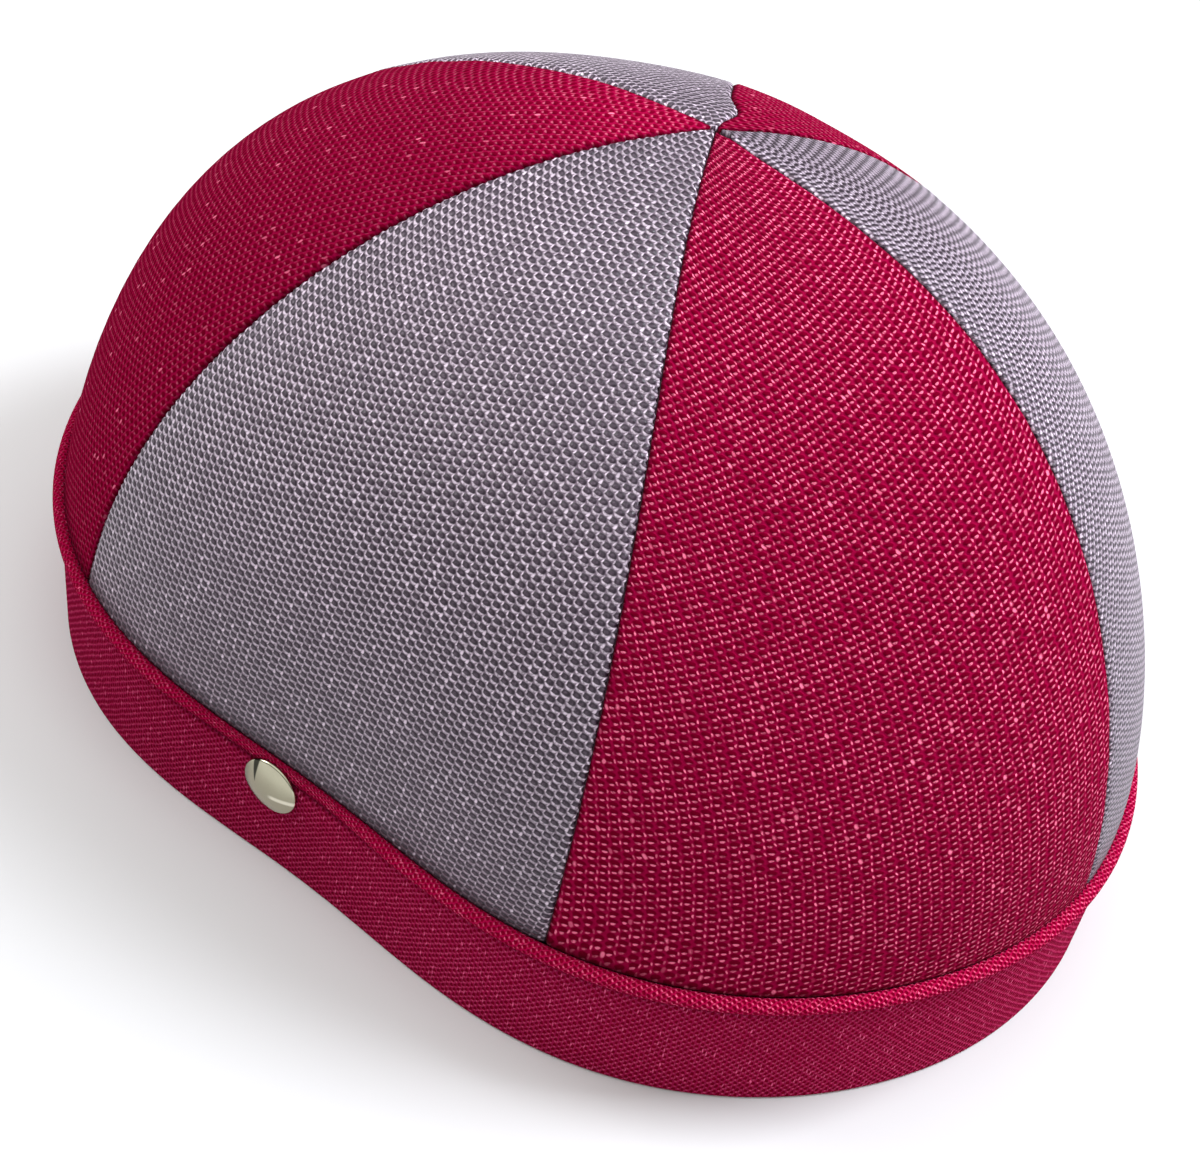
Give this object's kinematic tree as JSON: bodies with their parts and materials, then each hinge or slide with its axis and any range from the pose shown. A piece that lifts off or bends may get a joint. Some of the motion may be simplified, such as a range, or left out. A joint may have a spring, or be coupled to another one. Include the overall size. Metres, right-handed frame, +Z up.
{
  "type": "jockey cap",
  "caption": "Peakless jockey cap with a domed crown of sewn mesh gores, a deep band with a rolled top edge and a metal snap at each side.",
  "frame": {"origin": "on the surface that the cap stands on, under the middle of its box", "axes": "+Z up through the crown, -Y towards the front of the cap, -X towards the wearer's right"},
  "size_m": [0.189, 0.2549, 0.1438],
  "materials": {
    "lavender_mesh": "knitted mesh with a soft sheen",
    "magenta_mesh": "knitted mesh with a bright sheen",
    "snap_metal": "polished nickel"
  },
  "bodies": {
    "root": {"gore_right": "lavender_mesh", "gore_front_right": "magenta_mesh", "gore_front_left": "lavender_mesh", "gore_left": "magenta_mesh", "gore_back_left": "lavender_mesh", "gore_back_right": "magenta_mesh", "band": "magenta_mesh", "snap_right": "snap_metal", "snap_left": "snap_metal"}
  },
  "joints": []
}
